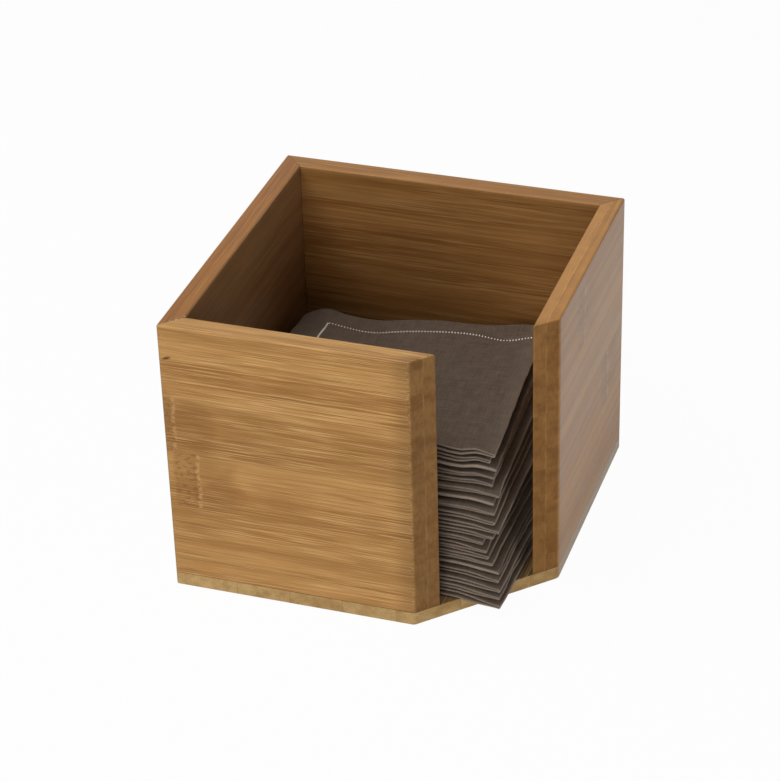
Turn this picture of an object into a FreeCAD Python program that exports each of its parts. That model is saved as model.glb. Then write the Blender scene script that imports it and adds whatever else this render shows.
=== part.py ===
import FreeCAD, Part
import math
import os

os.makedirs("parts", exist_ok=True)

# Square open-topped bamboo box for folded cloth napkins.  The front right corner is cut off,
# so that fingers can reach the corner of the stack.
#
# Frame: origin on the table, under the middle of the box; +X to the right along the front,
# +Y to the back, +Z up.  All lengths are in millimetres and all angles in degrees.

# ------------------------------------------------------------------ driving dimensions

# box
SIDE = 145.0              # outside width and depth
HEIGHT = 120.0            # from the table to the rim
WALL = 8.5                # thickness of the four wall boards
BASE = 6.0                # thickness of the base board
CORNER_CUT = 45.5         # length that the open corner takes off the front and the right side
EASE = 0.8                # sanded rounding of the outer edges; half of it below the base
MOUTH_ROUND = 3.0         # larger rounding of the two outer edges beside the open corner
FINE_EASE = 0.4           # lighter rounding of the sharp inner edges at the open corner

# splines glued into the three mitred corners, in slots that stop short of the rim
SPLINE_THICK = 2.0
SPLINE_WIDTH = 7.0        # half of it in each wall
SPLINE_INSET = 4.5        # from the inner corner to the middle of the spline, along the mitre
SPLINE_STOP = 12.0        # wood left above each slot

# machine-driven flat brads, up through the base into the walls
BRAD_THICK = 1.0          # across the wall
BRAD_WIDTH = 1.25         # along the wall
BRAD_HEAD_WIDTH = 2.2     # the head is as thick as the shank and wider along the wall
BRAD_HEAD = 0.6           # height of the head, sunk flush with the underside
BRAD_BITE = 12.0          # length held in the wall
BRAD_TIP = 2.0            # length of the chisel point
BRADS_PER_WALL = 2

# napkins, each folded in four
NAPKINS = 20              # number in the box
CLOTH_LAYER = 0.76        # one layer of cloth with the air that it traps
LEAF_GAP = 0.12           # slit between the two leaves of a napkin
FOLD_FLATS = 3            # flats that make the small round of a leaf's front fold
HEM_CORNER = 1.5          # rounding of the corner where all the hems meet
FREE_PLAY = 13.0          # space left on each side of a napkin that lies square in the middle
REST_GAP = 0.3            # clearance under the stack and under the top napkin

# how the stack leans and twists: (number of the napkin from the bottom, share of the free
# play used to the right, share used to the back, turn to the left)
STACK_LIE = [
    (1, 0.90, -0.62, -3.0),
    (5, 0.54, -0.22, -1.6),
    (9, -0.08, -0.30, 0.0),
    (12, 0.28, -0.22, 1.2),
    (16, -0.20, 0.17, 2.8),
    (20, -0.28, 0.10, 4.5),
]

# ------------------------------------------------------------------ worked-out sizes

HALF = SIDE / 2
INNER_HALF = HALF - WALL
CUT_START = HALF - CORNER_CUT          # where the cut meets the outer faces
UP = FreeCAD.Vector(0, 0, 1)

WALL_NAMES = ["front_wall", "right_wall", "back_wall", "left_wall"]
# the three corners that are joined, as (name, x sign, y sign)
MITRES = [("front_left", -1, -1), ("back_left", -1, 1), ("back_right", 1, 1)]

NAPKIN_SIDE = 2 * (INNER_HALF - FREE_PLAY)
NAPKIN_THICK = 4 * CLOTH_LAYER


# ------------------------------------------------------------------ small helpers

def prism(points, bottom, top):
    """Upright solid on a closed outline of (x, y) points."""
    corners = [FreeCAD.Vector(x, y, bottom) for x, y in points]
    outline = Part.makePolygon(corners + corners[:1])
    return Part.Face(outline).extrude(UP * (top - bottom))


def near(value, target):
    return abs(value - target) < 1e-6


def edges_where(solid, test):
    """Edges of a solid whose middle point and bounding box pass a test."""
    return [edge for edge in solid.Edges if test(edge.CenterOfMass, edge.BoundBox)]


def is_upright(box):
    return box.ZLength > 1e-6 and near(box.XLength, 0) and near(box.YLength, 0)


def ease_outline(solid):
    """Rounds the outer upright edges of a solid that has the box's outline."""
    def outer(mid, box):
        return is_upright(box) and near(max(abs(mid.x), abs(mid.y)), HALF)

    def beside_mouth(mid, box):
        return outer(mid, box) and near(mid.x - mid.y, HALF + CUT_START)

    def at_joined_corner(mid, box):
        return outer(mid, box) and near(abs(mid.x), abs(mid.y))

    solid = solid.makeFillet(MOUTH_ROUND, edges_where(solid, beside_mouth))
    return solid.makeFillet(EASE, edges_where(solid, at_joined_corner))


def save(name, shape):
    shape.exportStep(os.path.join("parts", name + ".step"))


# ------------------------------------------------------------------ base board

def square(half):
    return [(-half, -half), (half, -half), (half, half), (-half, half)]


def cut_square(half, cut_start):
    """Outline of a square with its front right corner cut off at 45 degrees."""
    return [(-half, -half), (cut_start, -half), (half, -cut_start), (half, half), (-half, half)]


def make_base():
    """Board of the box's full outline; the walls stand on it, flush with its edges."""
    board = ease_outline(prism(cut_square(HALF, CUT_START), 0, BASE))
    underside = edges_where(board, lambda mid, box: near(box.ZMax, 0))
    return board.makeChamfer(EASE / 2, underside)


# ------------------------------------------------------------------ walls

def make_ring():
    """All four walls in one: a square tube, its edges eased, open at the front right corner.

    The corner opens by itself, because the square hollow reaches out through the cut.
    """
    tube = prism(cut_square(HALF, CUT_START), BASE, HEIGHT)
    hollow = prism(square(INNER_HALF), BASE - 1, HEIGHT + 1)
    ring = tube.cut(hollow)

    def inner_mouth(mid, box):
        on_front = near(mid.y, -INNER_HALF) and mid.x > 0
        on_right = near(mid.x, INNER_HALF) and mid.y < 0
        return is_upright(box) and (on_front or on_right)

    ring = ease_outline(ring)
    ring = ring.makeFillet(FINE_EASE, edges_where(ring, inner_mouth))
    rim = edges_where(ring, lambda mid, box: near(box.ZMin, HEIGHT))
    return ring.makeFillet(EASE, rim)


def wall_sector(index):
    """Quarter of the plan between two diagonals, so that neighbours meet in mitres."""
    corners = square(2 * SIDE)
    start = corners[index]
    end = corners[(index + 1) % 4]
    return prism([(0, 0), start, end], -1, HEIGHT + 1)


# ------------------------------------------------------------------ splines and brads

def make_spline(x_sign, y_sign):
    """Thin strip across one mitre, standing on the base."""
    top = HEIGHT - SPLINE_STOP
    strip = Part.makeBox(SPLINE_THICK, SPLINE_WIDTH, top - BASE)
    strip.translate(FreeCAD.Vector(-SPLINE_THICK / 2, -SPLINE_WIDTH / 2, BASE))
    strip.rotate(FreeCAD.Vector(), UP, math.degrees(math.atan2(y_sign, x_sign)))
    inset = SPLINE_INSET / math.sqrt(2)
    place = INNER_HALF + inset
    strip.translate(FreeCAD.Vector(x_sign * place, y_sign * place, 0))
    return strip


def make_brad(x, y, turn):
    """Flat steel brad standing in the base, its head flush with the underside."""
    top = BASE + BRAD_BITE
    right_side = [
        (BRAD_HEAD_WIDTH / 2, 0),
        (BRAD_HEAD_WIDTH / 2, BRAD_HEAD),
        (BRAD_WIDTH / 2, BRAD_HEAD),
        (BRAD_WIDTH / 2, top - BRAD_TIP),
        (0, top),
    ]
    left_side = [(-across, height) for across, height in reversed(right_side[:-1])]
    face_y = -BRAD_THICK / 2
    corners = [FreeCAD.Vector(across, face_y, height) for across, height in right_side + left_side]
    outline = Part.makePolygon(corners + corners[:1])
    brad = Part.Face(outline).extrude(FreeCAD.Vector(0, BRAD_THICK, 0))
    brad.rotate(FreeCAD.Vector(), UP, turn)
    brad.translate(FreeCAD.Vector(x, y, 0))
    return brad


def brad_places():
    """(x, y, turn) of each brad, evenly spaced along the middle of each wall."""
    middle = HALF - WALL / 2
    full_run = (-INNER_HALF, INNER_HALF)
    runs = [
        ((-INNER_HALF, CUT_START), lambda along: (along, -middle, 0)),
        ((-CUT_START, INNER_HALF), lambda along: (middle, along, 90)),
        (full_run, lambda along: (along, middle, 0)),
        (full_run, lambda along: (-middle, along, 90)),
    ]
    places = []
    for (start, end), place_at in runs:
        step = (end - start) / (2 * BRADS_PER_WALL)
        for number in range(BRADS_PER_WALL):
            places.append(place_at(start + step * (2 * number + 1)))
    return places


# ------------------------------------------------------------------ napkins

def lie_of(number):
    """Shares of the free play and the turn of one napkin, between the entries of STACK_LIE."""
    place = 1 + (number - 1) * (STACK_LIE[-1][0] - 1) / max(NAPKINS - 1, 1)
    for low, high in zip(STACK_LIE, STACK_LIE[1:]):
        if place <= high[0]:
            share = (place - low[0]) / (high[0] - low[0])
            return [a + (b - a) * share for a, b in zip(low[1:], high[1:])]
    return list(STACK_LIE[-1][1:])


def leaf_section(x, low, high, front, back):
    """Section of a leaf, seen along X: its first fold is the round front edge."""
    middle = (low + high) / 2
    radius = (high - low) / 2
    centre = front + radius
    points = [(back, high)]
    for number in range(FOLD_FLATS + 1):
        angle = math.pi * (0.5 + number / FOLD_FLATS)
        points.append((centre + radius * math.cos(angle), middle + radius * math.sin(angle)))
    points.append((back, low))
    corners = [FreeCAD.Vector(x, y, z) for y, z in points]
    return Part.Face(Part.makePolygon(corners + corners[:1]))


def fold_napkin():
    """Napkin folded in four, lying square over the origin.

    The first fold runs along the front, the second along the right side, where the upper
    leaf turns over into the lower one.  The hems lie open behind and on the left.
    """
    half = NAPKIN_SIDE / 2
    turn_radius = NAPKIN_THICK / 2
    turn_start = half - turn_radius
    leaf_bottom = turn_radius + LEAF_GAP / 2
    section = leaf_section(turn_start, leaf_bottom, NAPKIN_THICK, -half, half)

    upper_leaf = section.extrude(FreeCAD.Vector(-half - turn_start, 0, 0))

    def hem_corner(mid, box):
        return is_upright(box) and mid.x < 0 and mid.y > 0

    upper_leaf = upper_leaf.makeFillet(HEM_CORNER, edges_where(upper_leaf, hem_corner))
    turn_axis = FreeCAD.Vector(turn_start, 0, turn_radius)
    lower_leaf = upper_leaf.mirror(turn_axis, UP)
    turned = section.revolve(turn_axis, FreeCAD.Vector(0, 1, 0), 180)
    return upper_leaf.fuse([turned, lower_leaf]).removeSplitter()


def lay_napkin(folded, number):
    """Copy of the folded napkin at its place in the stack, counted from the bottom."""
    share_x, share_y, turn = lie_of(number)
    angle = math.radians(turn)
    reach = NAPKIN_SIDE / 2 * (abs(math.sin(angle)) + math.cos(angle))
    play = INNER_HALF - reach
    height = BASE + REST_GAP + (number - 1) * NAPKIN_THICK
    if number == NAPKINS:
        height += REST_GAP
    napkin = folded.copy()
    napkin.rotate(FreeCAD.Vector(), UP, turn)
    napkin.translate(FreeCAD.Vector(share_x * play, share_y * play, height))
    return napkin


# ------------------------------------------------------------------ assembly

splines = {}
for corner, x_sign, y_sign in MITRES:
    splines["spline_" + corner] = make_spline(x_sign, y_sign)
brads = [make_brad(x, y, turn) for x, y, turn in brad_places()]
fixings = list(splines.values()) + brads

save("base_board", make_base().cut(brads))

ring = make_ring()
for index, name in enumerate(WALL_NAMES):
    save(name, ring.common(wall_sector(index)).cut(fixings))

for name, spline in splines.items():
    save(name, spline)
save("base_brads", Part.makeCompound(brads))

folded = fold_napkin()
for number in range(1, NAPKINS + 1):
    save("napkin_%02d" % number, lay_napkin(folded, number))
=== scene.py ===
import math
import random

import bpy
from mathutils import Matrix, Vector, noise


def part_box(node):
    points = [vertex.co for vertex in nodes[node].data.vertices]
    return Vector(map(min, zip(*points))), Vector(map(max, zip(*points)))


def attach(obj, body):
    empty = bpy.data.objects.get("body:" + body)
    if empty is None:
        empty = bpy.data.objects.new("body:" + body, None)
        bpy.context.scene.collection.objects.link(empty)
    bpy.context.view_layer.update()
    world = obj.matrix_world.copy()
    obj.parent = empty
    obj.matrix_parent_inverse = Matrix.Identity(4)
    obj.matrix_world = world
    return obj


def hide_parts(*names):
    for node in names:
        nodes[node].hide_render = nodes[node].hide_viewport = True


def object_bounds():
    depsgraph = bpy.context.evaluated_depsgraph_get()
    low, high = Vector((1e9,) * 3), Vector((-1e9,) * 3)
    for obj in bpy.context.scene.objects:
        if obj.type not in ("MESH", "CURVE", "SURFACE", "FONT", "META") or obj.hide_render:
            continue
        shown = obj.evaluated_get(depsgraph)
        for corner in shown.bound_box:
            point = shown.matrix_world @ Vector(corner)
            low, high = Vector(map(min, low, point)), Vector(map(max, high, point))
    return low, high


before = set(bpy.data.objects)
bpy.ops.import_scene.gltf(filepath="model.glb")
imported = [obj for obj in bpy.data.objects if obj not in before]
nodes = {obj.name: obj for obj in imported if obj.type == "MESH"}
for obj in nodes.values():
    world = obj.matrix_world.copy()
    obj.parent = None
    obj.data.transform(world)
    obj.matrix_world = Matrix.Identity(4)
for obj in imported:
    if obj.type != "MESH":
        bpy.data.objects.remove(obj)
cad_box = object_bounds()

# Looks of the bamboo napkin box: grain and finish of the boards, the folded cloth napkins, their
# hem stitches, and the floor, lights and camera.  Lengths are in metres.

MM = 0.001

# ---------------- sizes

# the box, as the frame has it
HALF = cad_box[1].x
RIM = cad_box[1].z
BASE_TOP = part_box("base_board")[1].z
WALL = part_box("front_wall")[1].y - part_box("front_wall")[0].y
INNER_HALF = HALF - WALL
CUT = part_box("front_wall")[1].x + INNER_HALF    # x - y on the plane of the cut corner

# bamboo boards
WALL_STRIP = 25.0 * MM      # height of a strip in the walls
WALL_SEAM = 13.7 * MM       # height of the lowest seam
PLY = 4.3 * MM              # thickness of the outer of a wall's two plies
BASE_STRIP = 22.0 * MM      # width of a strip in the base
BASE_SEAM = -68.5 * MM      # place of its leftmost seam

# napkins
NAPKINS = 20
REST_GAP = 0.3 * MM         # under the top napkin, in the frame
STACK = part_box("napkin_20")[1].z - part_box("napkin_01")[0].z
NAPKIN_THICK = (STACK - REST_GAP) / NAPKINS
FOLDED_SIDE = 103.0 * MM    # side of a folded napkin
FOLD_PLACE = 50.75 * MM     # from its middle to each of its two folds
FLAT_SIDE = 2 * FOLDED_SIDE
CLOTH = 0.36 * MM           # thickness of one layer of cloth
HEM_CLOTH = 0.40 * MM       # thickness where the hem is turned in
HEM = 10.2 * MM             # from the edge of the cloth to the stitches
CORNER_ROUND = 6.5 * MM     # radius of the napkin's corners
LAYER_GAP = 0.76 * MM       # from the middle of one layer to the next
LEAF_BULB = 0.30 * MM       # radius of the first fold, which runs along the front
TURN_BULB = 0.34 * MM       # radius of the second fold, which runs along the right side
STITCHES = 142              # along each side
STITCH_PITCH = (FLAT_SIDE - 2 * HEM) / STITCHES
STITCH_LONG = 0.74 * MM
STITCH_WIDE = 1.05 * MM

# how the stack leans and twists, as in the frame: (number of the napkin from the bottom, share
# of the free play used to the right, share used to the back, turn to the left in degrees)
STACK_LIE = [
    (1, 0.90, -0.62, -3.0),
    (5, 0.54, -0.22, -1.6),
    (9, -0.08, -0.30, 0.0),
    (12, 0.28, -0.22, 1.2),
    (16, -0.20, 0.17, 2.8),
    (20, -0.28, 0.10, 4.5),
]
# how far each napkin under the top one has slid to the right of that lie, from the bottom,
# in millimetres
SLIPS = (0.5, 0.0, 0.7, -0.1, 0.3, -0.9, -1.1, -0.6, -0.3, 1.8,
         2.4, -1.5, -1.0, -0.6, 2.0, -0.1, 0.2, 0.9, -1.4)
CAD_SIDE = 102 * MM         # side of the napkins in the frame
TURNED = (5, 14, 18)        # napkins laid with their second fold to the front
GATHER = 0.985              # a napkin's slack waves make it narrower by this factor
TOP_GATHER = 0.976          # and the deeper waves of the top one by this
TOP_FLARE = 1.2             # how much wider the hem at its left is drawn


# ---------------- small helpers

def smooth(low, high, value):
    """0 below low, 1 above high, and a smooth step between."""
    share = min(max((value - low) / (high - low), 0.0), 1.0)
    return share * share * (3 - 2 * share)


def hill(distance, reach):
    """1 at no distance, falling smoothly to nothing at about twice the reach."""
    return math.exp(-((distance / reach) ** 2))


def only(piece):
    """Makes a piece the only selected and the active one."""
    bpy.ops.object.select_all(action="DESELECT")
    piece.select_set(True)
    bpy.context.view_layer.objects.active = piece


def new_piece(name):
    piece = bpy.context.object
    piece.name = name
    piece.data.name = name
    return piece


def shade_smooth(piece):
    for polygon in piece.data.polygons:
        polygon.use_smooth = True


def apply_modifier(piece, modifier):
    only(piece)
    bpy.ops.object.modifier_apply(modifier=modifier.name)


# ---------------- material recipes

class Nodes:
    """Short calls for the nodes of one tree."""

    def __init__(self, tree):
        self.tree = tree

    def node(self, kind, **settings):
        node = self.tree.nodes.new(kind)
        for key, value in settings.items():
            setattr(node, key, value)
        return node

    def feed(self, socket, value):
        if isinstance(value, bpy.types.NodeSocket):
            self.tree.links.new(value, socket)
        else:
            socket.default_value = value

    def math(self, operation, *values):
        node = self.node("ShaderNodeMath", operation=operation)
        for socket, value in zip(node.inputs, values):
            self.feed(socket, value)
        return node.outputs[0]

    def add(self, first, second):
        return self.math("ADD", first, second)

    def less(self, first, second):
        return self.math("SUBTRACT", first, second)

    def times(self, first, second):
        return self.math("MULTIPLY", first, second)

    def step(self, value, low, high):
        """0 where value is at low, 1 where it is at high, and a smooth step between."""
        node = self.node("ShaderNodeMapRange", interpolation_type="SMOOTHSTEP")
        self.feed(node.inputs["Value"], value)
        self.feed(node.inputs["From Min"], low)
        self.feed(node.inputs["From Max"], high)
        return node.outputs["Result"]

    def window(self, value, middle, half, soft):
        """1 within half of the middle, fading to 0 over the soft width."""
        distance = self.math("ABSOLUTE", self.less(value, middle))
        return self.step(distance, half + soft, half)

    def vector(self, x, y, z):
        node = self.node("ShaderNodeCombineXYZ")
        for socket, value in zip(node.inputs, (x, y, z)):
            self.feed(socket, value)
        return node.outputs[0]

    def parts(self, vector):
        """X, Y and Z of a vector, by name."""
        node = self.node("ShaderNodeSeparateXYZ")
        self.feed(node.inputs[0], vector)
        return dict(zip("XYZ", node.outputs))

    def noise(self, vector, detail=2.0, roughness=0.5):
        """Soft noise with features about one unit long."""
        node = self.node("ShaderNodeTexNoise")
        self.feed(node.inputs["Vector"], vector)
        node.inputs["Scale"].default_value = 1.0
        node.inputs["Detail"].default_value = detail
        node.inputs["Roughness"].default_value = roughness
        return node.outputs["Fac"]

    def marks(self, places, sizes, detail=2.0, roughness=0.5):
        """Soft noise whose features have a size along each place.  None leaves a place as it is."""
        scaled = [place if size is None else self.times(place, 1 / size)
                  for place, size in zip(places, sizes)]
        return self.noise(self.vector(*scaled), detail, roughness)

    def dice(self, value):
        """Three random numbers that depend on a whole number."""
        node = self.node("ShaderNodeTexWhiteNoise", noise_dimensions="1D")
        self.feed(node.inputs["W"], value)
        split = self.node("ShaderNodeSeparateColor")
        self.feed(split.inputs[0], node.outputs["Color"])
        return split.outputs[0], split.outputs[1], split.outputs[2]

    def mix(self, share, first, second):
        """Colour between first and second."""
        node = self.node("ShaderNodeMix", data_type="RGBA")
        self.feed(node.inputs[0], share)
        self.feed(node.inputs[6], first)
        self.feed(node.inputs[7], second)
        return node.outputs[2]

    def shade(self, colour, strength):
        """Colour made darker or lighter by a number."""
        node = self.node("ShaderNodeVectorMath", operation="SCALE")
        self.feed(node.inputs[0], colour)
        self.feed(node.inputs["Scale"], strength)
        return node.outputs[0]

    def tint(self, colour, filter_colour):
        """Colour seen through a coloured filter."""
        node = self.node("ShaderNodeMix", data_type="RGBA", blend_type="MULTIPLY")
        node.inputs[0].default_value = 1.0
        self.feed(node.inputs[6], colour)
        self.feed(node.inputs[7], filter_colour)
        return node.outputs[2]

    def shows_backdrop(self):
        """1 for a ray from the camera, a gloss or a glass, 0 for one that only carries light."""
        path = self.node("ShaderNodeLightPath")
        mirrored = self.math("MAXIMUM", path.outputs["Is Glossy Ray"],
                             path.outputs["Is Transmission Ray"])
        return self.math("MAXIMUM", path.outputs["Is Camera Ray"], mirrored)


class Recipe(Nodes):
    """A material, made by setting and feeding the sockets of its shader."""

    def __init__(self, name):
        self.material = bpy.data.materials.new(name)
        self.material.use_nodes = True
        super().__init__(self.material.node_tree)
        self.shader = self.tree.nodes["Principled BSDF"]

    def finish(self, name, value):
        self.feed(self.shader.inputs[name], value)

    def bump(self, height, strength, distance):
        node = self.node("ShaderNodeBump")
        node.inputs["Strength"].default_value = strength
        node.inputs["Distance"].default_value = distance
        self.feed(node.inputs["Height"], height)
        self.finish("Normal", node.outputs[0])


# ---------------- bamboo

PALE_FIBRE = (0.610, 0.360, 0.135, 1)
HONEY = (0.445, 0.228, 0.066, 1)
TOFFEE = (0.325, 0.148, 0.036, 1)
DARK_FIBRE = (0.165, 0.062, 0.011, 1)
JOINT = (0.08, 0.034, 0.010, 1)
GLUE = (0.66, 0.50, 0.36, 1)
PLAIN = (1, 1, 1, 1)
END_TINT = (0.52, 0.50, 0.50, 1)
CLOUD_SIZE = (24 * MM, 10 * MM)

# bundles of fibres: length, width, detail and roughness of their noise, and how far they sway
HAIR = (26 * MM, 0.32 * MM, 1.0, 0.6, 0.12 * MM)
STREAK = (55 * MM, 0.80 * MM, 2.0, 0.6, 0.2 * MM)
BAND = (300 * MM, 5.0 * MM, 2.0, 0.55, 0.7 * MM)
BUSY_PART = (90 * MM, 8 * MM, 2.0, 0.5, 2 * MM)
SWAY_SIZE = (30 * MM, 20 * MM)
SPECKLE_SIZE = (0.8 * MM, 0.45 * MM, 0.45 * MM)
GROWTH_SIZE = (2.6 * MM, 13 * MM)       # of the slow swelling on the sawn ends
GROWTH_LINES = 34.0                     # how close its contour lines lie
PIT_SIZE = (2.4 * MM, 1.5 * MM)
CRUMB_SIZE = (1.1 * MM, 1.1 * MM, 2.5 * MM)

# fibres over the ground colour: which noise, where they begin and are full in it, share, colour
FIBRE_MARKS = [
    ("streak", 0.50, 0.66, 0.42, PALE_FIBRE),
    ("streak", 0.49, 0.34, 0.38, DARK_FIBRE),
    ("hair", 0.54, 0.64, 0.88, PALE_FIBRE),
    ("hair", 0.46, 0.32, 0.48, DARK_FIBRE),
]
INNER_SHIFT = 0.37          # of a strip, from the seams of the outer ply to those of the inner
RUN_SHIFT = 0.9             # metres, between the grain of one strip and another
KEY_OF_INNER = 17.0         # keeps the plies' random numbers apart
KEY_OF_SEED = 7.3           # keeps the boards' random numbers apart
ROW_OF_INNER = 50.0         # added to the number of a strip in the inner ply
WOOD_ROUGHNESS = 0.26
WOOD_SPECULAR = 0.20


class Board(Recipe):
    """Laminated bamboo of one board.  along, across and depth are its (axis, sign, origin).

    run, rise and inward are the distances in these directions.  colour and strength are built
    up step by step: a step paints over the colour, or makes the wood darker or lighter.
    """

    def __init__(self, name, along, across, depth, seed, strip, seam, ply, cloud_size):
        super().__init__(name)
        position = self.node("ShaderNodeTexCoord")
        self.place = self.parts(position.outputs["Object"])
        self.facing = self.parts(position.outputs["Normal"])
        self.run = self.measure(*along)
        self.rise = self.measure(*across)
        self.inward = self.measure(*depth)
        self.strip = strip
        self.ply = ply

        # strips and plies, each with its own random shift and tone
        self.is_inner = self.math("GREATER_THAN", self.inward, ply)
        self.is_outer = self.less(1.0, self.is_inner)
        rows = self.math("DIVIDE", self.less(self.rise, seam), strip)
        self.rows = self.add(rows, self.times(self.is_inner, INNER_SHIFT))
        self.row = self.math("FLOOR", self.rows)
        self.key = self.add(self.add(self.row, self.times(self.is_inner, KEY_OF_INNER)),
                            seed * KEY_OF_SEED)
        self.shift, self.warmth, self.lightness = self.dice(self.key)
        self.run_shifted = self.add(self.run, self.times(self.shift, RUN_SHIFT))

        self.hair = self.grain(*HAIR)
        self.streak = self.grain(*STREAK)
        self.cloud = self.grain(*cloud_size, 2.0, 0.6)
        end_facing = self.math("ABSOLUTE", self.facing[along[0]])
        self.end_grain = self.step(end_facing, 0.35, 0.68)
        self.side_grain = self.less(1.0, self.end_grain)
        self.colour = HONEY
        self.strength = 1.0

    def measure(self, axis, sign, origin):
        """Distance along an axis from an origin."""
        return self.times(self.less(self.place[axis], origin), sign)

    def grain(self, length, width, detail, roughness, bend=0.0):
        """Noise in fibres of a length and a width, slightly bent."""
        bent = self.rise
        if bend:
            sway = self.marks((self.run_shifted, self.rise, self.shift), (*SWAY_SIZE, None), 1.0)
            bent = self.add(self.rise, self.times(self.less(sway, 0.5), bend))
        return self.marks((self.run_shifted, bent, self.inward), (length, width, width),
                          detail, roughness)

    def wander(self, value, distance):
        """A place that strays with the clouds of the wood, by up to half the distance."""
        return self.add(value, self.times(self.less(self.cloud, 0.5), distance))

    def paint(self, share, colour):
        self.colour = self.mix(share, self.colour, colour)

    def strengthen(self, factor):
        self.strength = self.times(self.strength, factor)

    def ground(self, stripes, patches):
        """Honey and toffee in broad bands, with the stripes and patches of the outer ply."""
        band = self.grain(*BAND)
        hue = self.add(self.times(band, 2.1), self.times(self.warmth, 0.30))
        for height, half, darkness in stripes:
            stripe = self.window(self.wander(self.rise, 1.5 * MM), height, half - 0.6 * MM,
                                 1.2 * MM)
            hue = self.add(hue, self.times(self.times(stripe, darkness), self.is_outer))
        for place, height, half_long, half_high, darkness in patches:
            off_x = self.math("DIVIDE", self.less(self.run, place), half_long)
            off_z = self.math("DIVIDE", self.less(self.rise, height), half_high)
            away = self.add(self.times(off_x, off_x), self.times(off_z, off_z))
            away = self.add(away, self.times(self.less(self.streak, 0.5), 1.2))
            patch = self.times(self.step(away, 1.3, 0.5), darkness)
            hue = self.add(hue, self.times(patch, self.is_outer))
        self.colour = self.mix(self.step(hue, 0.75, 1.70), HONEY, TOFFEE)

    def fibres(self, contrast):
        """Pale and dark fibres, denser in the busy parts and calmer on the sawn ends."""
        busy = self.step(self.grain(*BUSY_PART), 0.36, 0.60)
        calm = self.less(1.0, self.times(self.end_grain, 0.85))
        lines = self.times(calm, self.add(0.40 * contrast, self.times(busy, 0.60 * contrast)))
        noises = {"hair": self.hair, "streak": self.streak}
        for kind, begin, full, share, fibre in FIBRE_MARKS:
            mark = self.step(noises[kind], begin, full)
            self.paint(self.times(mark, self.times(lines, share)), fibre)

    def threads(self, threads):
        """Single long fibres of the outer ply."""
        ragged = self.add(self.run, self.times(self.hair, 12 * MM))
        for height, start, end, half, darkness in threads:
            thread = self.window(self.wander(self.rise, 0.6 * MM), height, half * 0.4, half)
            reach = self.window(ragged, (start + end) / 2 + 6 * MM, (end - start) / 2 - 4 * MM,
                                8 * MM)
            thread = self.times(self.times(thread, reach), self.step(self.hair, 0.30, 0.52))
            thread = self.times(self.times(thread, self.is_outer), abs(darkness))
            self.paint(thread, DARK_FIBRE if darkness > 0 else PALE_FIBRE)

    def clouds(self, clouds):
        """Broad clouds, and a tone of its own for each strip."""
        self.strength = self.add(1.0 - clouds / 2, self.times(self.cloud, clouds))
        self.strengthen(self.add(0.95, self.times(self.lightness, 0.10)))

    def pores(self, pores):
        """Fine speckle, stronger on the sawn ends."""
        speckle = self.marks((self.run, self.rise, self.inward), SPECKLE_SIZE, 2.0, 0.6)
        depth = self.add(0.02, self.times(self.end_grain, pores))
        speckle = self.times(self.less(speckle, 0.5), depth)
        self.strengthen(self.add(1.0, self.times(speckle, 6.0)))

    def rings(self, rings):
        """Growth figure on the sawn ends: contour lines of a slow swelling."""
        swelling = self.marks((self.inward, self.rise, self.key), (*GROWTH_SIZE, None), 1.0)
        figure = self.math("SINE", self.times(swelling, GROWTH_LINES))
        figure = self.times(self.times(figure, rings), self.end_grain)
        self.strengthen(self.add(1.0, figure))

    def knuckles(self, knuckles):
        """Where the cane had its joints: a pitted pale line with darker wood on both sides."""
        pits = self.marks((self.run, self.rise, 3.0), (*PIT_SIZE, None), 3.0)
        rows = self.add(self.row, self.times(self.is_inner, ROW_OF_INNER))
        for knuckle_row, place, darkness in knuckles:
            in_row = self.window(rows, knuckle_row, 0.2, 0.2)
            distance = self.less(self.wander(self.run, 2.5 * MM), place)
            line = self.times(self.window(distance, 0, 0.35 * MM, 0.8 * MM), in_row)
            line = self.times(line, self.step(pits, 0.36, 0.58))
            beside = self.window(distance, 6.5 * MM, 4.5 * MM, 8 * MM)
            patch = self.times(self.times(beside, in_row), self.step(self.cloud, 0.30, 0.60))
            before = self.times(self.window(distance, -5 * MM, 4.2 * MM, 1.5 * MM), in_row)
            speck = self.times(before, self.step(pits, 0.50, 0.36))
            darker = self.times(self.add(patch, self.times(before, 0.7)), darkness)
            self.paint(darker, DARK_FIBRE)
            self.paint(self.times(speck, 0.45), DARK_FIBRE)
            self.paint(self.times(line, 0.42), PALE_FIBRE)

    def knots(self, knots):
        """Small dark slanting knots in the outer ply."""
        for place, height, length, thick in knots:
            off_x = self.math("DIVIDE", self.less(self.run, place), length / 2)
            slant = self.times(self.less(self.run, place), 0.35)
            off_z = self.less(self.less(self.rise, height), slant)
            off_z = self.math("DIVIDE", off_z, thick / 2)
            distance = self.add(self.times(off_x, off_x), self.times(off_z, off_z))
            distance = self.math("SQRT", distance)
            distance = self.add(distance, self.times(self.hair, 0.8))
            knot = self.times(self.step(distance, 1.5, 0.7), self.is_outer)
            self.paint(self.times(knot, 0.92), JOINT)

    def seams(self, end_seams):
        """Thin lines between the strips and between the plies."""
        share = self.math("FRACT", self.rows)
        to_seam = self.times(self.math("MINIMUM", share, self.less(1.0, share)), self.strip)
        fade = self.less(1.0, self.times(self.end_grain, 1.0 - end_seams))
        seam_line = self.times(self.step(to_seam, 0.25 * MM, 0.05 * MM), fade)
        self.paint(self.times(seam_line, 0.30), DARK_FIBRE)
        ply_line = self.window(self.wander(self.inward, 0.3 * MM), self.ply, 0.08 * MM, 0.30 * MM)
        ply_line = self.times(ply_line, self.step(self.cloud, 0.35, 0.60))
        self.paint(self.times(ply_line, 0.45), PALE_FIBRE)

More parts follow.
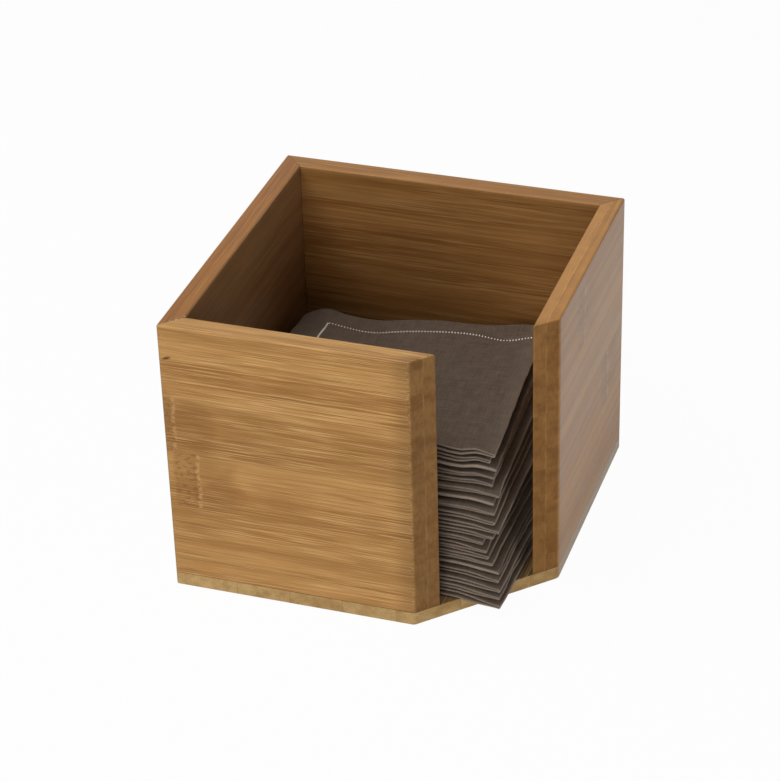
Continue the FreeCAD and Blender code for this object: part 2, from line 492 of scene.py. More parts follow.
    def joints(self):
        """Joints with the other boards: mitres on the diagonals, and the base."""
        side_x = self.math("ABSOLUTE", self.place["X"])
        side_y = self.math("ABSOLUTE", self.place["Y"])
        to_mitre = self.math("ABSOLUTE", self.less(side_x, side_y))
        to_base = self.math("ABSOLUTE", self.less(self.place["Z"], BASE_TOP))
        joint = self.math("MAXIMUM", self.step(to_mitre, 0.30 * MM, 0.05 * MM),
                          self.step(to_base, 0.28 * MM, 0.05 * MM))
        joint = self.times(joint, self.step(self.streak, 0.2, 0.55))
        self.paint(self.times(joint, 0.75), JOINT)

        # crumbs of glue in the front left mitre, near the rim
        crumbs = self.marks(self.place.values(), CRUMB_SIZE)
        near_joint = self.step(to_mitre, 3.0 * MM, 0.8 * MM)
        glue = self.times(self.step(crumbs, 0.60, 0.68), near_joint)
        glue = self.times(glue, self.step(self.place["Z"], RIM - 6 * MM, RIM - 2 * MM))
        glue = self.times(glue, self.step(self.place["Y"], 0.0, -20 * MM))
        self.paint(glue, GLUE)

    def paint_cut_shade(self, cut_shade):
        """Painted shade: darker wood beside the cut corner."""
        to_cut = self.less(CUT, self.less(self.place["X"], self.place["Y"]))
        cut_shade_mask = self.times(self.step(to_cut, 9 * MM, 0.5 * MM), self.side_grain)
        self.strength = self.less(self.strength, self.times(cut_shade_mask, cut_shade))

    def tint_faces(self, end_tint, rim_tint_and_light, inner_shade_tint):
        """Ends of the fibres drink more of the finish. The rim gets a tint of its own that is
        partly painted light, and the inner faces a darker tint that is painted shade.
        """
        # painted light: each rim is tinted lighter or darker, partly for its own tone and partly
        # for the light that falls on the upward faces
        near_rim = self.step(self.place["Z"], RIM - 1.5 * MM, RIM - 0.5 * MM)
        on_rim = self.times(self.step(self.facing["Z"], 0.5, 0.9), near_rim)
        # painted shade: the inner faces of the walls are tinted darker, for the shade inside the
        # box
        shaded_inner_face = self.times(self.less(1.0, on_rim), self.side_grain)
        shaded_inner_face = self.times(self.is_inner, shaded_inner_face)
        for share, tint in ((self.end_grain, end_tint), (on_rim, rim_tint_and_light),
                            (shaded_inner_face, inner_shade_tint)):
            self.colour = self.tint(self.colour, self.mix(share, PLAIN, tint))

    def varnish(self, tint, dull_foot):
        """The tint of the whole board, its gloss and the relief of its fibres."""
        self.finish("Base Color", self.tint(self.shade(self.colour, self.strength), tint))
        roughness = self.add(WOOD_ROUGHNESS, self.times(self.cloud, 0.16))
        roughness = self.add(roughness, self.times(self.end_grain, 0.3))
        if dull_foot:
            foot = self.step(self.place["Z"], 75 * MM, 5 * MM)
            roughness = self.add(roughness, self.times(foot, dull_foot))
        self.finish("Roughness", roughness)
        self.finish("Specular IOR Level", WOOD_SPECULAR)
        relief = self.add(self.times(self.hair, 0.5), self.times(self.streak, 0.5))
        self.bump(relief, 0.5, 0.1 * MM)


def bamboo(name, along, across, depth, seed, strip=WALL_STRIP, seam=WALL_SEAM,
           ply=PLY, tint=PLAIN, inner_shade_tint=PLAIN, rim_tint_and_light=PLAIN, end_tint=END_TINT,
           contrast=1.0, clouds=0.28, cloud_size=CLOUD_SIZE, pores=0.04, rings=0.06,
           end_seams=0.2, cut_shade=0.0, dull_foot=0.0, stripes=(), threads=(), patches=(),
           knuckles=(), knots=()):
    """Material of one board.

    A stripe is (height, half width, how dark) of a band of darker or lighter fibres.
    A knuckle is (row of the strip, place along it, how dark the wood beside it is).  In the
    inner ply the rows start at ROW_OF_INNER.
    A knot is (place along, height, length, thickness).
    A thread is (height, from, to, half width, how dark) of one long fibre.
    A patch is (place along, height, half length, half height, how dark).
    soak is how dark the painted shade beside the cut corner is, and dull_foot how much rougher the
    wood is near the base.
    """
    board = Board(name, along, across, depth, seed, strip, seam, ply, cloud_size)
    board.ground(stripes, patches)
    board.fibres(contrast)
    board.threads(threads)
    board.clouds(clouds)
    board.pores(pores)
    board.rings(rings)
    board.knuckles(knuckles)
    board.knots(knots)
    board.seams(end_seams)
    board.joints()
    # painted shade beside the cut corner
    board.paint_cut_shade(cut_shade)
    board.tint_faces(end_tint, rim_tint_and_light, inner_shade_tint)
    board.varnish(tint, dull_foot)
    return board.material


# long fibres that stand out on the front, in millimetres: height, from, to and half width,
# and how dark, or how pale below 0
FIBRES = [
    (107.3, -55, 22, 0.25, 0.45),
    (104.2, -65, 25, 0.30, -0.35),
    (103.4, -65, 25, 0.25, 0.30),
    (96.4, -65, 24, 0.28, -0.55),
    (95.6, -50, 24, 0.25, 0.50),
    (94.6, -40, 24, 0.30, -0.50),
    (92.8, -55, 24, 0.35, -0.55),
    (91.8, -30, 24, 0.25, 0.35),
    (89.3, -70, 20, 0.30, -0.45),
    (84.9, -50, 10, 0.30, 0.35),
    (74.3, -45, -5, 0.35, -0.50),
    (73.0, -45, 5, 0.25, 0.30),
    (58.3, -25, -5, 0.35, -0.60),
    (53.6, -52, -38, 0.40, -0.60),
    (51.6, -52, -36, 0.35, -0.50),
    (46.5, -12, 14, 0.35, -0.50),
    (45.0, -5, 18, 0.30, 0.40),
    (43.4, -15, 8, 0.30, -0.50),
    (36.2, -48, -5, 0.35, -0.50),
    (30.2, -20, 25, 0.25, -0.40),
    (17.0, 0, 24, 0.35, -0.55),
    (11.0, -12, 10, 0.40, -0.60),
    (9.5, -15, 20, 0.30, -0.40),
]


def finish_boards():
    """Grain of each board.  Walls run along X or Y, and their strips lie one over another."""
    # the inner tints paint shade on the inner faces of the walls, and the rim tints partly paint
    # light on their rims
    wall_across = ("Z", 1, 0.0)
    front = bamboo("front bamboo", ("X", 1, 0.0), wall_across, ("Y", 1, -HALF), 3,
                   tint=(1.0, 1.02, 1.07, 1), rim_tint_and_light=(1.23, 1.24, 1.25, 1), cut_shade=0.24,
                   stripes=((117.8 * MM, 1.2 * MM, 0.30), (111.5 * MM, 3.8 * MM, -0.45),
                            (101.5 * MM, 3.4 * MM, 0.50), (88.0 * MM, 0.5 * MM, -0.60),
                            (78.0 * MM, 8.0 * MM, 0.15), (63.0 * MM, 1.2 * MM, -0.30),
                            (44.0 * MM, 5.0 * MM, 0.30), (14.0 * MM, 4.0 * MM, -0.20)),
                   threads=[[value * MM for value in place] + [tone] for *place, tone in FIBRES],
                   patches=((-60 * MM, 77 * MM, 9 * MM, 11 * MM, 0.35),
                            (-49 * MM, 47 * MM, 9 * MM, 7 * MM, 0.40),
                            (-14 * MM, 102.5 * MM, 28 * MM, 3.5 * MM, 0.25)),
                   knuckles=((2, -68.4 * MM, 0.30), (1, -59.6 * MM, 0.35)),
                   knots=((-69.3 * MM, 105.9 * MM, 4.6 * MM, 1.7 * MM),))
    right = bamboo("right bamboo", ("Y", 1, 0.0), wall_across, ("X", -1, HALF), 8,
                   tint=(1.08, 1.03, 0.95, 1), rim_tint_and_light=(1.04, 1.02, 1.04, 1),
                   inner_shade_tint=(0.57, 0.57, 0.62, 1), contrast=0.22, clouds=0.45,
                   cloud_size=(8 * MM, 7 * MM), cut_shade=0.10, dull_foot=0.08,
                   knuckles=((1, 48 * MM, 0.25), (3, 10 * MM, 0.15)))
    back = bamboo("back bamboo", ("X", 1, 0.0), wall_across, ("Y", -1, HALF), 14,
                  rim_tint_and_light=(0.91, 0.80, 0.66, 1), inner_shade_tint=(0.63, 0.58, 0.59, 1), contrast=0.70,
                  knuckles=((2, 35 * MM, 0.3), (0, -20 * MM, 0.3), (51, 12 * MM, 0.15)))
    left = bamboo("left bamboo", ("Y", 1, 0.0), wall_across, ("X", 1, -HALF), 21,
                  rim_tint_and_light=(0.78, 0.62, 0.43, 1), inner_shade_tint=(0.69, 0.71, 1.02, 1), contrast=0.55,
                  knuckles=((3, 20 * MM, 0.3), (1, -44 * MM, 0.3)))
    base = bamboo("base bamboo", ("Y", 1, 0.0), ("X", 1, 0.0), ("Z", 1, 0.0), 33,
                  strip=BASE_STRIP, seam=BASE_SEAM, ply=20 * MM, tint=(1.08, 1.38, 2.00, 1),
                  end_tint=PLAIN, pores=0.09, rings=0.015, end_seams=1.0)
    spline = bamboo("spline bamboo", ("Z", 1, 0.0), ("X", 1, 0.0), ("Y", 1, 0.0), 40,
                    strip=30 * MM, seam=-15 * MM, ply=100 * MM)
    finishes = {"front_wall": front, "right_wall": right, "back_wall": back, "left_wall": left,
                "base_board": base, "spline_front_left": spline, "spline_back_left": spline,
                "spline_back_right": spline}
    for node, material in finishes.items():
        nodes[node].material_slots[0].material = material


STEEL_DARK = (0.38, 0.38, 0.40, 1)
STEEL_LIGHT = (0.62, 0.61, 0.60, 1)
BRUSHING = (4000, 4000, 500)        # streaks in a metre, across and along a brad


def finish_brads():
    """Bright brushed steel on the brads."""
    mix = Recipe("brad steel")
    position = mix.node("ShaderNodeTexCoord")
    stretched = mix.node("ShaderNodeMapping")
    stretched.inputs["Scale"].default_value = BRUSHING
    mix.feed(stretched.inputs["Vector"], position.outputs["Object"])
    brushing = mix.noise(stretched.outputs[0], 3.0)
    mix.finish("Base Color", mix.mix(brushing, STEEL_DARK, STEEL_LIGHT))
    mix.finish("Metallic", 1.0)
    mix.finish("Roughness", mix.add(0.25, mix.times(brushing, 0.25)))
    mix.bump(brushing, 0.2, 0.02 * MM)
    nodes["base_brads"].material_slots[0].material = mix.material


# ---------------- cloth

CLOTH_DARK = (0.058, 0.040, 0.029, 1)
CLOTH_LIGHT = (0.158, 0.113, 0.082, 1)
# pale of worn folds, also the colour of painted highlights and painted light on the cloth
PALE_WEAR_AND_LIGHT = (0.400, 0.320, 0.250, 1)
LINT = (0.42, 0.38, 0.34, 1)
WEAVE_PITCH = 0.5 * MM
SLUB_LONG = 14 * MM         # a slub is a thick place in a thread
SLUB_WIDE = 0.7 * MM
MOTTLE = 5 * MM
PUCKER = 1.8 * MM
LINT_SPACING = 7 * MM
LINT_SHARE = 0.28           # of the spots that hold a bit of lint
THREAD_DARK = (0.86, 0.80, 0.68, 1)
THREAD_LIGHT = (1.0, 0.96, 0.88, 1)
TWIST = (6000, 6000, 6000)          # plies of the thread in a metre


def napkin_cloth():
    """Dark taupe cotton in a plain weave, on the napkin's own flat UV map."""
    mix = Recipe("taupe cotton")
    flat = mix.parts(mix.node("ShaderNodeUVMap", uv_map="flat").outputs[0])
    across = mix.times(flat["X"], FLAT_SIDE)
    along = mix.times(flat["Y"], FLAT_SIDE)

    turns = 2 * math.pi / WEAVE_PITCH
    warp = mix.math("SINE", mix.times(across, turns))
    weft = mix.math("SINE", mix.times(along, turns))
    weave = mix.add(0.5, mix.times(mix.times(warp, weft), 0.5))
    slub_across = mix.marks((across, along, 0.0), (SLUB_LONG, SLUB_WIDE, None), 2.0, 0.6)
    slub_along = mix.marks((across, along, 5.0), (SLUB_WIDE, SLUB_LONG, None), 2.0, 0.6)
    slubs = mix.times(mix.add(slub_across, slub_along), 0.5)
    mottle = mix.marks((across, along, 2.0), (MOTTLE, MOTTLE, None), 3.0, 0.6)

    tone = mix.add(mix.times(weave, 0.25), mix.times(slubs, 0.9))
    tone = mix.add(tone, mix.times(mottle, 0.45))
    colour = mix.mix(mix.step(tone, 0.35, 1.25), CLOTH_DARK, CLOTH_LIGHT)

    # the hem puckers a little between its stitches
    from_sides = mix.math("MINIMUM", across, mix.less(FLAT_SIDE, across))
    from_ends = mix.math("MINIMUM", along, mix.less(FLAT_SIDE, along))
    to_edge = mix.math("MINIMUM", from_sides, from_ends)
    is_side = mix.math("LESS_THAN", from_sides, from_ends)
    travel = mix.add(mix.times(along, is_side), mix.times(across, mix.less(1.0, is_side)))
    puckers = mix.marks((travel, 0.0, 0.0), (PUCKER, None, None), 1.0)
    near_hem = mix.window(to_edge, HEM, 1.0 * MM, 3.0 * MM)

    # the folds are paler: a thin line on each, partly wear and partly a painted highlight, a broad
    # faint band of painted light beside it, and another band of painted light along the upper left
    # hem
    to_turn = mix.math("ABSOLUTE", mix.less(across, FLAT_SIDE / 2))
    to_leaf = mix.math("ABSOLUTE", mix.less(along, FLAT_SIDE / 2))
    leaf_line = mix.times(mix.step(to_leaf, 0.55 * MM, 0.10 * MM), 0.45)
    turn_line = mix.times(mix.step(to_turn, 0.65 * MM, 0.15 * MM), 0.70)
    leaf_painted_light = mix.times(mix.step(to_leaf, 4 * MM, 0.5 * MM), 0.04)
    turn_painted_light = mix.times(mix.step(to_turn, 9 * MM, 0.5 * MM), 0.07)
    # painted light: the left of the upper leaf is made paler where the left wall throws its shadow
    left_painted_light = mix.times(mix.step(across, 38 * MM, 8 * MM), 0.12)
    lines = mix.math("MAXIMUM", leaf_line, turn_line)
    lines = mix.times(lines, mix.add(0.50, mix.times(slubs, 0.6)))
    painted_light_bands = mix.math("MAXIMUM", mix.math("MAXIMUM", leaf_painted_light, turn_painted_light), left_painted_light)
    colour = mix.mix(mix.math("MAXIMUM", lines, painted_light_bands), colour, PALE_WEAR_AND_LIGHT)

    # lint
    cells = mix.node("ShaderNodeTexVoronoi", feature="F1")
    mix.feed(cells.inputs["Vector"], mix.vector(across, along, 0.0))
    cells.inputs["Scale"].default_value = 1 / LINT_SPACING
    split = mix.node("ShaderNodeSeparateColor")
    mix.feed(split.inputs[0], cells.outputs["Color"])
    lint = mix.times(mix.step(cells.outputs["Distance"], 0.035, 0.02),
                     mix.math("GREATER_THAN", split.outputs[0], 1 - LINT_SHARE))
    colour = mix.mix(mix.times(lint, 0.5), colour, LINT)

    mix.finish("Base Color", colour)
    mix.finish("Roughness", 0.9)
    mix.finish("Specular IOR Level", 0.14)
    mix.finish("Sheen Weight", 0.10)
    mix.finish("Sheen Roughness", 0.5)
    mix.finish("Sheen Tint", (1.0, 0.88, 0.76, 1))
    height = mix.add(mix.times(weave, 0.5), mix.times(slubs, 0.8))
    height = mix.add(height, mix.times(mix.times(puckers, near_hem), 0.35))
    mix.bump(height, 0.5, 0.15 * MM)
    return mix.material


def stitch_thread():
    """Cream twisted thread."""
    mix = Recipe("cream thread")
    position = mix.node("ShaderNodeTexCoord")
    twist = mix.node("ShaderNodeMapping")
    twist.inputs["Scale"].default_value = TWIST
    mix.feed(twist.inputs["Vector"], position.outputs["Object"])
    plies = mix.noise(twist.outputs[0], 2.0)
    mix.finish("Base Color", mix.mix(plies, THREAD_DARK, THREAD_LIGHT))
    mix.finish("Roughness", 0.8)
    mix.finish("Specular IOR Level", 0.25)
    mix.bump(plies, 0.4, 0.05 * MM)
    return mix.material


# ---------------- folded napkins

# the slack cloth of the stack, in millimetres
STACK_HIGH = 61.4           # height of the even pile above the base board
RIPPLE_WIDE = 34.0          # size of its slow ripples over the napkins
RIPPLE_HIGH = 26.0          # and from one napkin to the next
OPENING = 70.0              # from the middle of the box to where the cloth hangs over the base
OVERHANG = 13.2             # how far the lowest corner hangs over
DROOP = 2.1                 # how far that corner hangs down

# how the layers of a napkin lie at its folds
SQUEEZE = 0.48              # how much closer they lie where the second fold squeezes them
SQUEEZE_REACH = 9 * MM
LEAF_REACH = 12 * MM        # how far a lifted first fold is felt
TURN_REACH = 8 * MM         # how far a lifted second fold is felt
WAVER = 0.45 * MM           # small unevenness along a fold
WAVER_LONG = 11 * MM
WAVER_REACH = 25 * MM

# rows of points on the cloth: close at the folds and the hems, wider between
FIRST_STEP = 0.3 * MM
FOLD_REACH = 1.7 * MM       # the steps widen from here on
WIDENING = 1.35
WIDEST_STEP = 5.0 * MM
HEM_CLEAR = 7.5 * MM        # before the stitches, where the wide rows stop
HEM_ROWS = [HEM + 2.0 * MM, HEM + 1.0 * MM, HEM, HEM - 1.0 * MM, HEM - 2.5 * MM,
            5.5 * MM, 4.0 * MM, 2.6 * MM, 1.4 * MM, 0.6 * MM, 0.0]

# stitches
SEWN_NAPKINS = 2            # from the top, as the hems of the others can't be seen
STITCH_FLAT = 0.8           # height of the bead as a share of its width
STITCH_DIP = 0.35           # how far its ends dip into the cloth, as a share of its width
STITCH_PROUD = 0.55         # height of its middle over the cloth's, in thicknesses of the hem
FOLD_CLEAR = 2 * MM         # between the last stitch and the fold
FEEL = 0.2 * MM             # how far ahead and aside the slope of the cloth is felt


def lie_of(number):
    """Shares of the free play and the turn of one napkin, between the entries of STACK_LIE."""
    for low, high in zip(STACK_LIE, STACK_LIE[1:]):
        if number <= high[0]:
            share = (number - low[0]) / (high[0] - low[0])
            return [a + (b - a) * share for a, b in zip(low[1:], high[1:])]
    return list(STACK_LIE[-1][1:])


def fold_at(length, gap, bulb, soften):
    """Section of a fold: how far in from its tip, how far off its middle, and its turn.

    length is the distance along the cloth from the tip, with a sign for the side.
    """
    side = math.copysign(1, length)
    quarter = bulb * math.pi / 2
    past = abs(length) - quarter
    if past < 0:
        angle = abs(length) / bulb
        return bulb * (1 - math.cos(angle)), side * bulb * math.sin(angle), angle
    height = gap + (bulb - gap) * hill(past, soften)
    return bulb + past, side * height, math.pi / 2


def hump_of_top(x, y):
    """How far the slack cloth of the upper napkins bulges by the open corner."""
    front_edge = 4.2 * hill(x - 19, 13) * hill(y + 52, 20)
    right_edge = 2.4 * smooth(37, 46, x) * smooth(-30, -48, y)
    return front_edge + right_edge


def sag_of_stack(x, y):
    """How far the top of the stack lies above or below an even pile, by place in the box."""
    toward_opening = (x - y) / math.sqrt(2)
    back = (-5.6 + 0.085 * max(x, -23)) * smooth(-22, 46, y)
    back_hollow_left = -1.4 * hill(x + 28, 10) * hill(y - 44, 16)
    back_left_corner = 2.0 * hill(x + 49, 6) * hill(y - 48, 9)
    back_hollow_right = -2.6 * hill(x - 30, 9) * hill(y - 45, 6)
    back_edge = -1.8 * hill(x - 18, 15) * smooth(42, 53, y)
    right_edge = 1.5 * smooth(34, 45, x) * hill(y - 38, 7)
    open_corner = -2.4 * smooth(63, 74, toward_opening)
    left_front = -1.5 * smooth(-35, -58, x) * smooth(30, -20, y)
    left_edge = 2.2 * smooth(-30, -46, x) * hill(y - 24, 13)
    return (back + back_hollow_left + back_left_corner + back_hollow_right + back_edge
            + right_edge + open_corner + left_front + left_edge)


def settle(point):
    """Lets a point of the even pile down to where the slack cloth really lies."""
    x, y, z = (value / MM for value in point)
    share = (z - BASE_TOP / MM) / STACK_HIGH
    ripple = noise.noise(Vector((x / RIPPLE_WIDE, y / RIPPLE_WIDE, z / RIPPLE_HIGH)))
    ripple *= (1.3 - 0.6 * share) * (0.15 + 0.85 * share) * smooth(0, 0.1, share)
    overhang = max((x - y) / math.sqrt(2) - OPENING, 0)
    droop = DROOP * (overhang / OVERHANG) ** 0.8 * (1 - share) ** 1.3
    hump = hump_of_top(x, y) * smooth(0.65, 1.0, share)
    lifted = z + share * (sag_of_stack(x, y) + hump) + ripple - droop
    return Vector((x, y, lifted)) * MM


class FoldedNapkin:
    """One napkin folded in four: says where each point of its flat cloth lies in the stack."""

    def __init__(self, number):
        self.number = number
        dice = random.Random(100 + number)
        share_x, share_y, turn = lie_of(number)
        self.turn = math.radians(turn)
        reach = CAD_SIDE / 2 * (abs(math.sin(self.turn)) + math.cos(self.turn))
        play = INNER_HALF - reach
        self.middle = Vector((share_x * play, share_y * play, 0))
        self.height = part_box("napkin_%02d" % number)[0].z + NAPKIN_THICK / 2
        self.turned = number in TURNED
        # the folds are a little off the middle of the cloth, and not quite straight
        self.turn_off = dice.uniform(-1.0, 1.0) * MM
        self.leaf_off = dice.uniform(-0.8, 0.8) * MM
        self.skew = dice.uniform(-0.006, 0.006)
        self.slide = dice.uniform(-0.35, 0.35) * MM
        self.lift = dice.uniform(-0.14, 0.14) * MM
        self.leaf_lift = dice.uniform(-0.10, 0.10) * MM
        self.turn_lift = dice.uniform(-0.35, 0.35) * MM
        # how tight the folds are pressed
        self.leaf_bulb = LEAF_BULB * dice.uniform(0.8, 1.35)
        self.turn_bulb = TURN_BULB * dice.uniform(0.85, 1.2)
        self.leaf_soften = dice.uniform(1.5, 5.0) * MM
        self.turn_soften = dice.uniform(6.0, 14.0) * MM
        if number < NAPKINS:
            self.middle += Vector((SLIPS[number - 1], dice.uniform(-0.3, 0.3), 0)) * MM
        self.gather = TOP_GATHER if number == NAPKINS else GATHER
        self.flare = TOP_FLARE if number == NAPKINS else 1.0
        self.wander = dice.uniform(0, 1000)

    def sides(self):
        """(lowest, highest) flat coordinate across and along, measured from the two folds."""
        return ((-FOLDED_SIDE - self.turn_off, FOLDED_SIDE - self.turn_off),
                (-FOLDED_SIDE - self.leaf_off, FOLDED_SIDE - self.leaf_off))

    def waver(self, place, seed):
        """Small smooth unevenness along a fold."""
        return noise.noise(Vector((place / WAVER_LONG, self.wander, seed))) * WAVER

    def point(self, across, along, proud=0.0):
        """Place of a flat point.  proud is how far it stands off the cloth's middle."""
        inward, off, _ = fold_at(along, LAYER_GAP / 2, self.leaf_bulb, self.leaf_soften)
        reach, height, angle = fold_at(across, LAYER_GAP, self.turn_bulb, self.turn_soften)
        off *= 1 - SQUEEZE * hill(reach, SQUEEZE_REACH)
        off += math.copysign(proud, off if along else 1)
        side = math.copysign(1, -across)
        normal_x = math.cos(angle)
        normal_z = side * math.sin(angle)
        height = -height
        to_hem = FOLDED_SIDE - HEM
        gathered = min(reach, to_hem) * self.gather + max(reach - to_hem, 0.0) * self.flare
        x = FOLD_PLACE - gathered + off * normal_x
        z = height + off * normal_z
        y = -FOLD_PLACE + inward
        leaf = height / LAYER_GAP
        y += self.slide * leaf + self.skew * leaf * x
        z += (self.lift + self.leaf_lift * leaf) * hill(inward, LEAF_REACH)
        z += self.turn_lift * hill(reach, TURN_REACH)
        y += self.waver(x, leaf * 0.6) * hill(inward, WAVER_REACH)
        x += self.waver(y, 7.0) * hill(reach, WAVER_REACH)
        if self.turned:
            x, y = -y, -x
        place = Matrix.Rotation(self.turn, 3, "Z") @ Vector((x, y, z))
        place += self.middle
        place.z += self.height
        return settle(place)


def stations(length):
    """Distances from a fold to the hem at which the cloth has a row of points."""
    rows = [0.0]
    step = FIRST_STEP
    while rows[-1] < length - HEM - HEM_CLEAR:
        rows.append(rows[-1] + step)
        if rows[-1] > FOLD_REACH:
            step = min(step * WIDENING, WIDEST_STEP)
    rows += [length - row for row in HEM_ROWS]
    return rows


def both_ways(low, high):
    """Stations from the hem at low, over the fold at 0, to the hem at high."""
    return [-row for row in reversed(stations(-low)[1:])] + stations(high)


def hem_weight(to_edge):
    """0 on single cloth, 1 where the hem is turned in."""
    doubled = smooth(HEM + 2.0 * MM, HEM - 0.5 * MM, to_edge)
    edge = 0.5 * smooth(0.8 * MM, 0.0, to_edge)
    return max(doubled - edge, 0.0)


def round_corner(a, b, left, right, near, far):
    """Moves a flat point near a corner of the cloth onto the corner's round."""
    corner_a, in_a = (left, a - left) if a - left < right - a else (right, right - a)
    corner_b, in_b = (near, b - near) if b - near < far - b else (far, far - b)
    out_a = CORNER_ROUND - in_a
    out_b = CORNER_ROUND - in_b
    if out_a <= 0 or out_b <= 0:
        return a, b
    share = max(out_a, out_b) / math.hypot(out_a, out_b)
    a += math.copysign(out_a * (1 - share), -corner_a)
    b += math.copysign(out_b * (1 - share), -corner_b)
    return a, b


def make_napkin(number, cloth):
    """Napkin as one sheet: a flat grid taken through both folds, then given its thickness."""
    folded = FoldedNapkin(number)
    (left, right), (near, far) = folded.sides()
    across = both_ways(left, right)
    along = both_ways(near, far)
    columns = len(across)
    bpy.ops.mesh.primitive_grid_add(
        x_subdivisions=columns - 1, y_subdivisions=len(along) - 1, size=1)
    napkin = new_piece("folded_napkin_%02d" % number)
    mesh = napkin.data
    hems = napkin.vertex_groups.new(name="hem")
    flat = []
    for vertex in mesh.vertices:
        a = across[vertex.index % columns]
        b = along[vertex.index // columns]
        to_edge = min(a - left, right - a, b - near, far - b)
        a, b = round_corner(a, b, left, right, near, far)
        # both folds lie in the middle of the flat map
        flat.append((0.5 + 0.5 * a / (right if a > 0 else -left),
                     0.5 + 0.5 * b / (far if b > 0 else -near)))
        vertex.co = folded.point(a, b)
        hems.add([vertex.index], hem_weight(to_edge), "REPLACE")
    mesh.uv_layers.active.name = "flat"
    for loop in mesh.loops:
        mesh.uv_layers["flat"].data[loop.index].uv = flat[loop.vertex_index]
    if folded.turned:
        mesh.flip_normals()
    thicken = napkin.modifiers.new("thickness", "SOLIDIFY")
    thicken.thickness = HEM_CLOTH
    thicken.offset = 0
    thicken.vertex_group = "hem"
    thicken.thickness_vertex_group = CLOTH / HEM_CLOTH
    apply_modifier(napkin, thicken)
    shade_smooth(napkin)
    mesh.materials.clear()
    mesh.materials.append(cloth)
    return napkin, folded


def make_stitch(thread):
    """One stitch along X: a short bead of thread whose ends dip into the cloth."""
    bpy.ops.mesh.primitive_uv_sphere_add(segments=8, ring_count=5, radius=0.5)
    stitch = new_piece("stitch")
    for vertex in stitch.data.vertices:
        x, y, z = vertex.co
        along = z * 2
        vertex.co = (z * STITCH_LONG, y * STITCH_WIDE,
                     (x * STITCH_FLAT - STITCH_DIP * along * along) * STITCH_WIDE)
    shade_smooth(stitch)
    stitch.data.materials.append(thread)
    return stitch


def sew_hem(folded, thread):
    """Stitches on the hems that show on the napkin's upper leaf."""
    stitch = make_stitch(thread)
    (left, _), (_, far) = folded.sides()
    side_line = left + HEM
    back_line = far - HEM
    corner = Vector((side_line, back_line))
    proud = HEM_CLOTH * STITCH_PROUD
    lines = [
        (Vector((1, 0)), -side_line - FOLD_CLEAR),
        (Vector((0, -1)), back_line - FOLD_CLEAR),
    ]
    copies = []
    for direction, length in lines:
        for number in range(int(length / STITCH_PITCH)):
            flat = corner + direction * (number + 0.5) * STITCH_PITCH
            ahead = flat + direction * FEEL
            aside = flat + Vector((-direction.y, direction.x)) * FEEL
            here = folded.point(*flat, proud)
            forward = (folded.point(*ahead, proud) - here).normalized()
            sideways = (folded.point(*aside, proud) - here).normalized()
            upward = forward.cross(sideways).normalized()
            if upward.z < 0:
                upward = -upward
            sideways = upward.cross(forward)
            axes = Matrix((forward, sideways, upward)).transposed().to_4x4()
            copy = stitch.copy()
            copy.data = stitch.data.copy()
            copy.data.transform(Matrix.Translation(here) @ axes)
            bpy.context.collection.objects.link(copy)
            copies.append(copy)
    bpy.data.objects.remove(stitch)
    bpy.ops.object.select_all(action="DESELECT")
    for copy in copies:
        copy.select_set(True)
    bpy.context.view_layer.objects.active = copies[0]
    bpy.ops.object.join()
    return new_piece("hem_stitches_%02d" % folded.number)


def make_stack():
    cloth = napkin_cloth()
    thread = stitch_thread()
    for number in range(1, NAPKINS + 1):
        napkin, folded = make_napkin(number, cloth)
        body = "top_napkin" if number == NAPKINS else "napkin_stack"
        if number > NAPKINS - SEWN_NAPKINS:
            stitches = sew_hem(folded, thread)
            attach(stitches, body)
        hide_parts("napkin_%02d" % number)
        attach(napkin, body)


# ---------------- floor, lights and camera

FLOOR_SIZE = 8.0
FLOOR_COLOUR = (0.60, 0.60, 0.60, 1)
FLOOR_GLOW = 0.97           # share of plain white in what the camera and reflections see


def make_floor():
    bpy.ops.object.select_all(action="DESELECT")
    bpy.ops.mesh.primitive_plane_add(size=FLOOR_SIZE)
    floor = new_piece("floor")
    mix = Recipe("pale floor")
    mix.finish("Base Color", FLOOR_COLOUR)
    mix.finish("Roughness", 1.0)
    mix.finish("Specular IOR Level", 0.0)
    white = mix.node("ShaderNodeEmission")
    both = mix.node("ShaderNodeMixShader")
    mix.feed(both.inputs[0], mix.times(mix.shows_backdrop(), FLOOR_GLOW))
    mix.feed(both.inputs[1], mix.shader.outputs[0])
    mix.feed(both.inputs[2], white.outputs[0])
    surface = mix.tree.nodes["Material Output"]
    mix.feed(surface.inputs["Surface"], both.outputs[0])
    floor.data.materials.append(mix.material)


WORLD_LEVEL = 0.11          # light of the world on the object
BACKDROP = 0.98             # the world as the camera and reflections see it, as pale as the floor
AIM = Vector((0, 0, 0.05))  # what the lamps point at
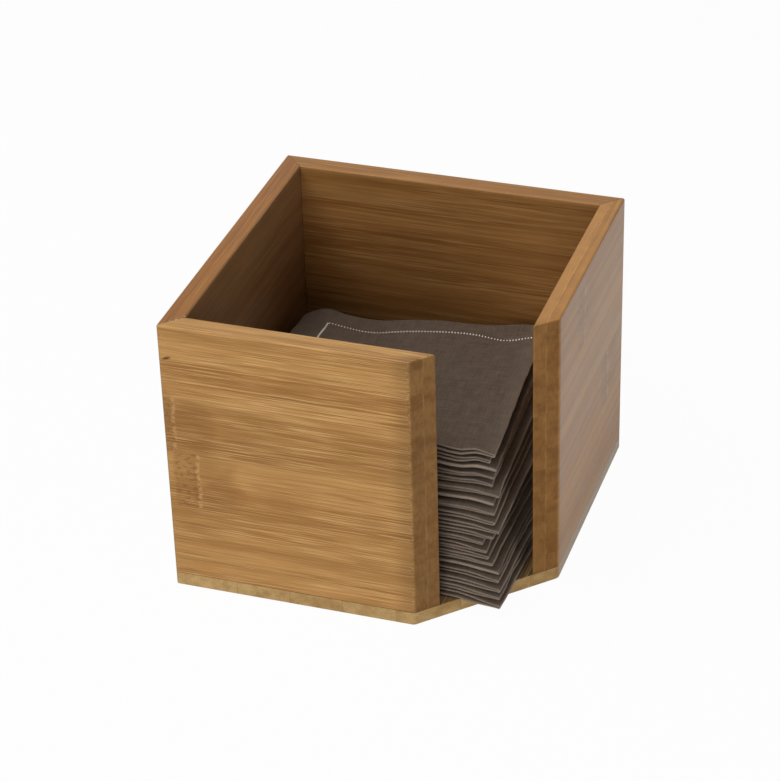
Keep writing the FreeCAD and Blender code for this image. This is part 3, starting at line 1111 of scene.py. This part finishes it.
# name, azimuth and elevation of the lamp, its distance, its width and its power in watts
LAMPS = [
    ("left_softbox", -56, 64, 1.6, 1.3, 19.4),
    ("front_fill", 2, 12, 1.6, 0.9, 13.0),
    ("right_fill", 75, 4, 1.6, 0.9, 5.7),
]


def make_world():
    world = bpy.data.worlds.new("studio")
    bpy.context.scene.world = world
    world.use_nodes = True
    mix = Nodes(world.node_tree)
    background = mix.tree.nodes["Background"]
    background.inputs["Color"].default_value = (1, 1, 1, 1)
    shown = mix.times(mix.shows_backdrop(), BACKDROP - WORLD_LEVEL)
    mix.feed(background.inputs["Strength"], mix.add(shown, WORLD_LEVEL))


def make_lamps():
    for name, azimuth, elevation, distance, width, power in LAMPS:
        lamp = bpy.data.lights.new(name, "AREA")
        lamp.size = width
        lamp.energy = power
        turn = math.radians(azimuth)
        tilt = math.radians(elevation)
        back = Vector((math.sin(turn) * math.cos(tilt), -math.cos(turn) * math.cos(tilt),
                       math.sin(tilt)))
        holder = bpy.data.objects.new(name, lamp)
        holder.location = AIM + back * distance
        holder.rotation_euler = (-back).to_track_quat("-Z", "Y").to_euler()
        bpy.context.collection.objects.link(holder)


CAMERA_AT = Vector((0.2991, -0.8793, 0.6415))
CAMERA_AZIMUTH = 19.092     # degrees
CAMERA_ELEVATION = 32.062
CAMERA_ROLL = -1.7385
CAMERA_LENS = 125.87        # millimetres, on a sensor 36 mm wide
SENSOR = 36


def make_camera():
    data = bpy.data.cameras.new("camera")
    data.lens = CAMERA_LENS
    data.sensor_width = SENSOR
    camera = bpy.data.objects.new("camera", data)
    bpy.context.collection.objects.link(camera)
    turn = Matrix.Rotation(math.radians(CAMERA_AZIMUTH), 4, "Z")
    tilt = Matrix.Rotation(math.radians(90 - CAMERA_ELEVATION), 4, "X")
    roll = Matrix.Rotation(math.radians(CAMERA_ROLL), 4, "Z")
    camera.matrix_world = Matrix.Translation(CAMERA_AT) @ turn @ tilt @ roll
    bpy.context.scene.camera = camera
    bpy.context.scene.view_settings.view_transform = "Standard"


# ---------------- assembly

bpy.ops.object.select_all(action="DESELECT")
make_camera()
finish_boards()
finish_brads()
make_stack()
make_floor()
make_world()
make_lamps()
